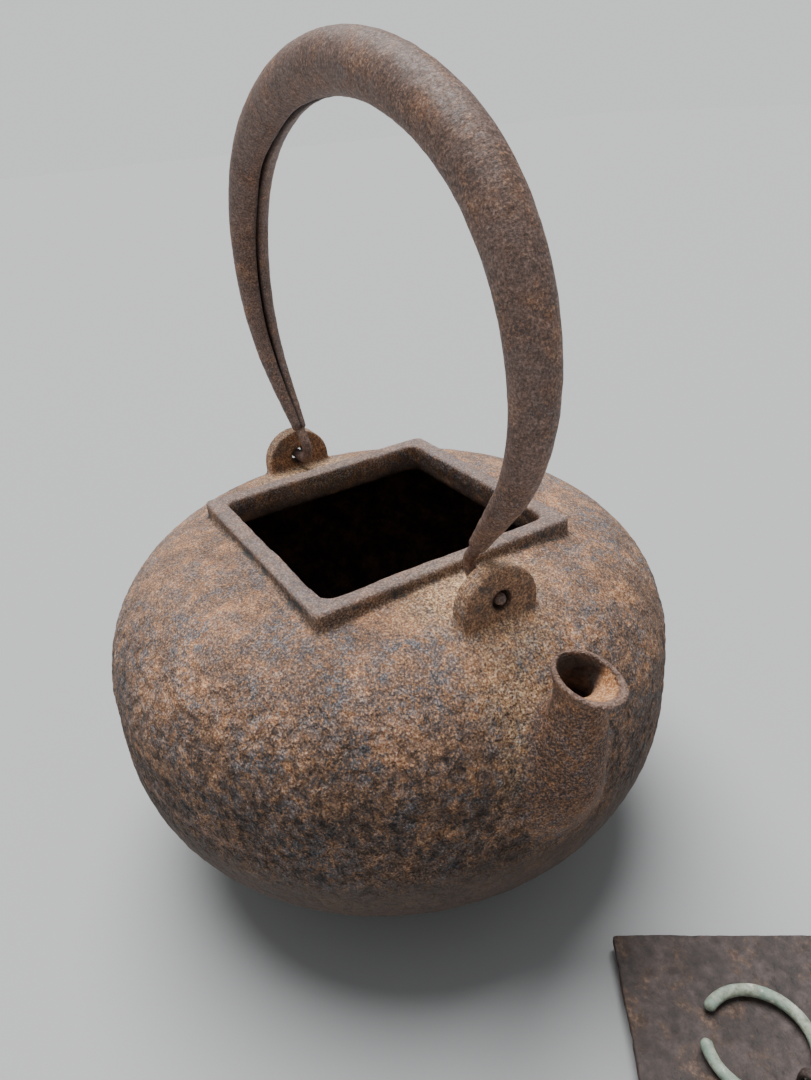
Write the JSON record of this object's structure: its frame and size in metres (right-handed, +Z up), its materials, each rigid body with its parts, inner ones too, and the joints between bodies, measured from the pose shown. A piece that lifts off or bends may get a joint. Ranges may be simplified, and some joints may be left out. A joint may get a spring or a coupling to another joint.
{
  "type": "cast iron kettle",
  "caption": "Rusty cast iron kettle with a round pebbled belly, square mouth, short upright spout, swinging hollow bail handle and a loose square lid with an open ring.",
  "frame": {"origin": "centre of the kettle's flat base, on the surface it stands on", "axes": "+Z up along the belly's axis, +X towards the spout, Y across; the handle swings about X"},
  "size_m": [0.2578, 0.155, 0.2089],
  "materials": {
    "body_iron": "rusted, pebbled cast skin, matt",
    "rim_iron": "rusted, smoother cast skin, matt",
    "handle_iron": "rusted wrought iron sheet, fine grained, matt",
    "lid_iron": "dark purple-brown rust, matt",
    "eye_iron": "nearly black iron",
    "ring_brass": "green-grey patina with worn bright spots"
  },
  "bodies": {
    "kettle": {"lower_shell": "body_iron", "upper_shell": "body_iron", "mouth_rim": "rim_iron", "spout": "body_iron", "front_lug": "body_iron", "rear_lug": "body_iron"},
    "handle": {"handle_tube": "handle_iron", "front_hook": "handle_iron", "rear_hook": "handle_iron"},
    "lid": {"lid_plate": "lid_iron", "lid_lip": "lid_iron", "lid_eye": "eye_iron"},
    "ring": {"lid_ring": "ring_brass"}
  },
  "joints": [
    {"name": "handle_swing", "type": "hinge", "parent": "kettle", "child": "handle", "pos_m": [0, 0, 0.0987], "axis": [1, 0, 0], "range_deg": [-92, 92]},
    {"name": "lid_lift", "type": "slide", "parent": "kettle", "child": "lid", "axis": [0, 0, 1], "range_m": [0, 0.12]},
    {"name": "ring_swing", "type": "hinge", "parent": "lid", "child": "ring", "pos_m": [0.131, 0.022, 0.0074], "axis": [-0.1668, 0.986, 0], "range_deg": [0, 180]}
  ]
}
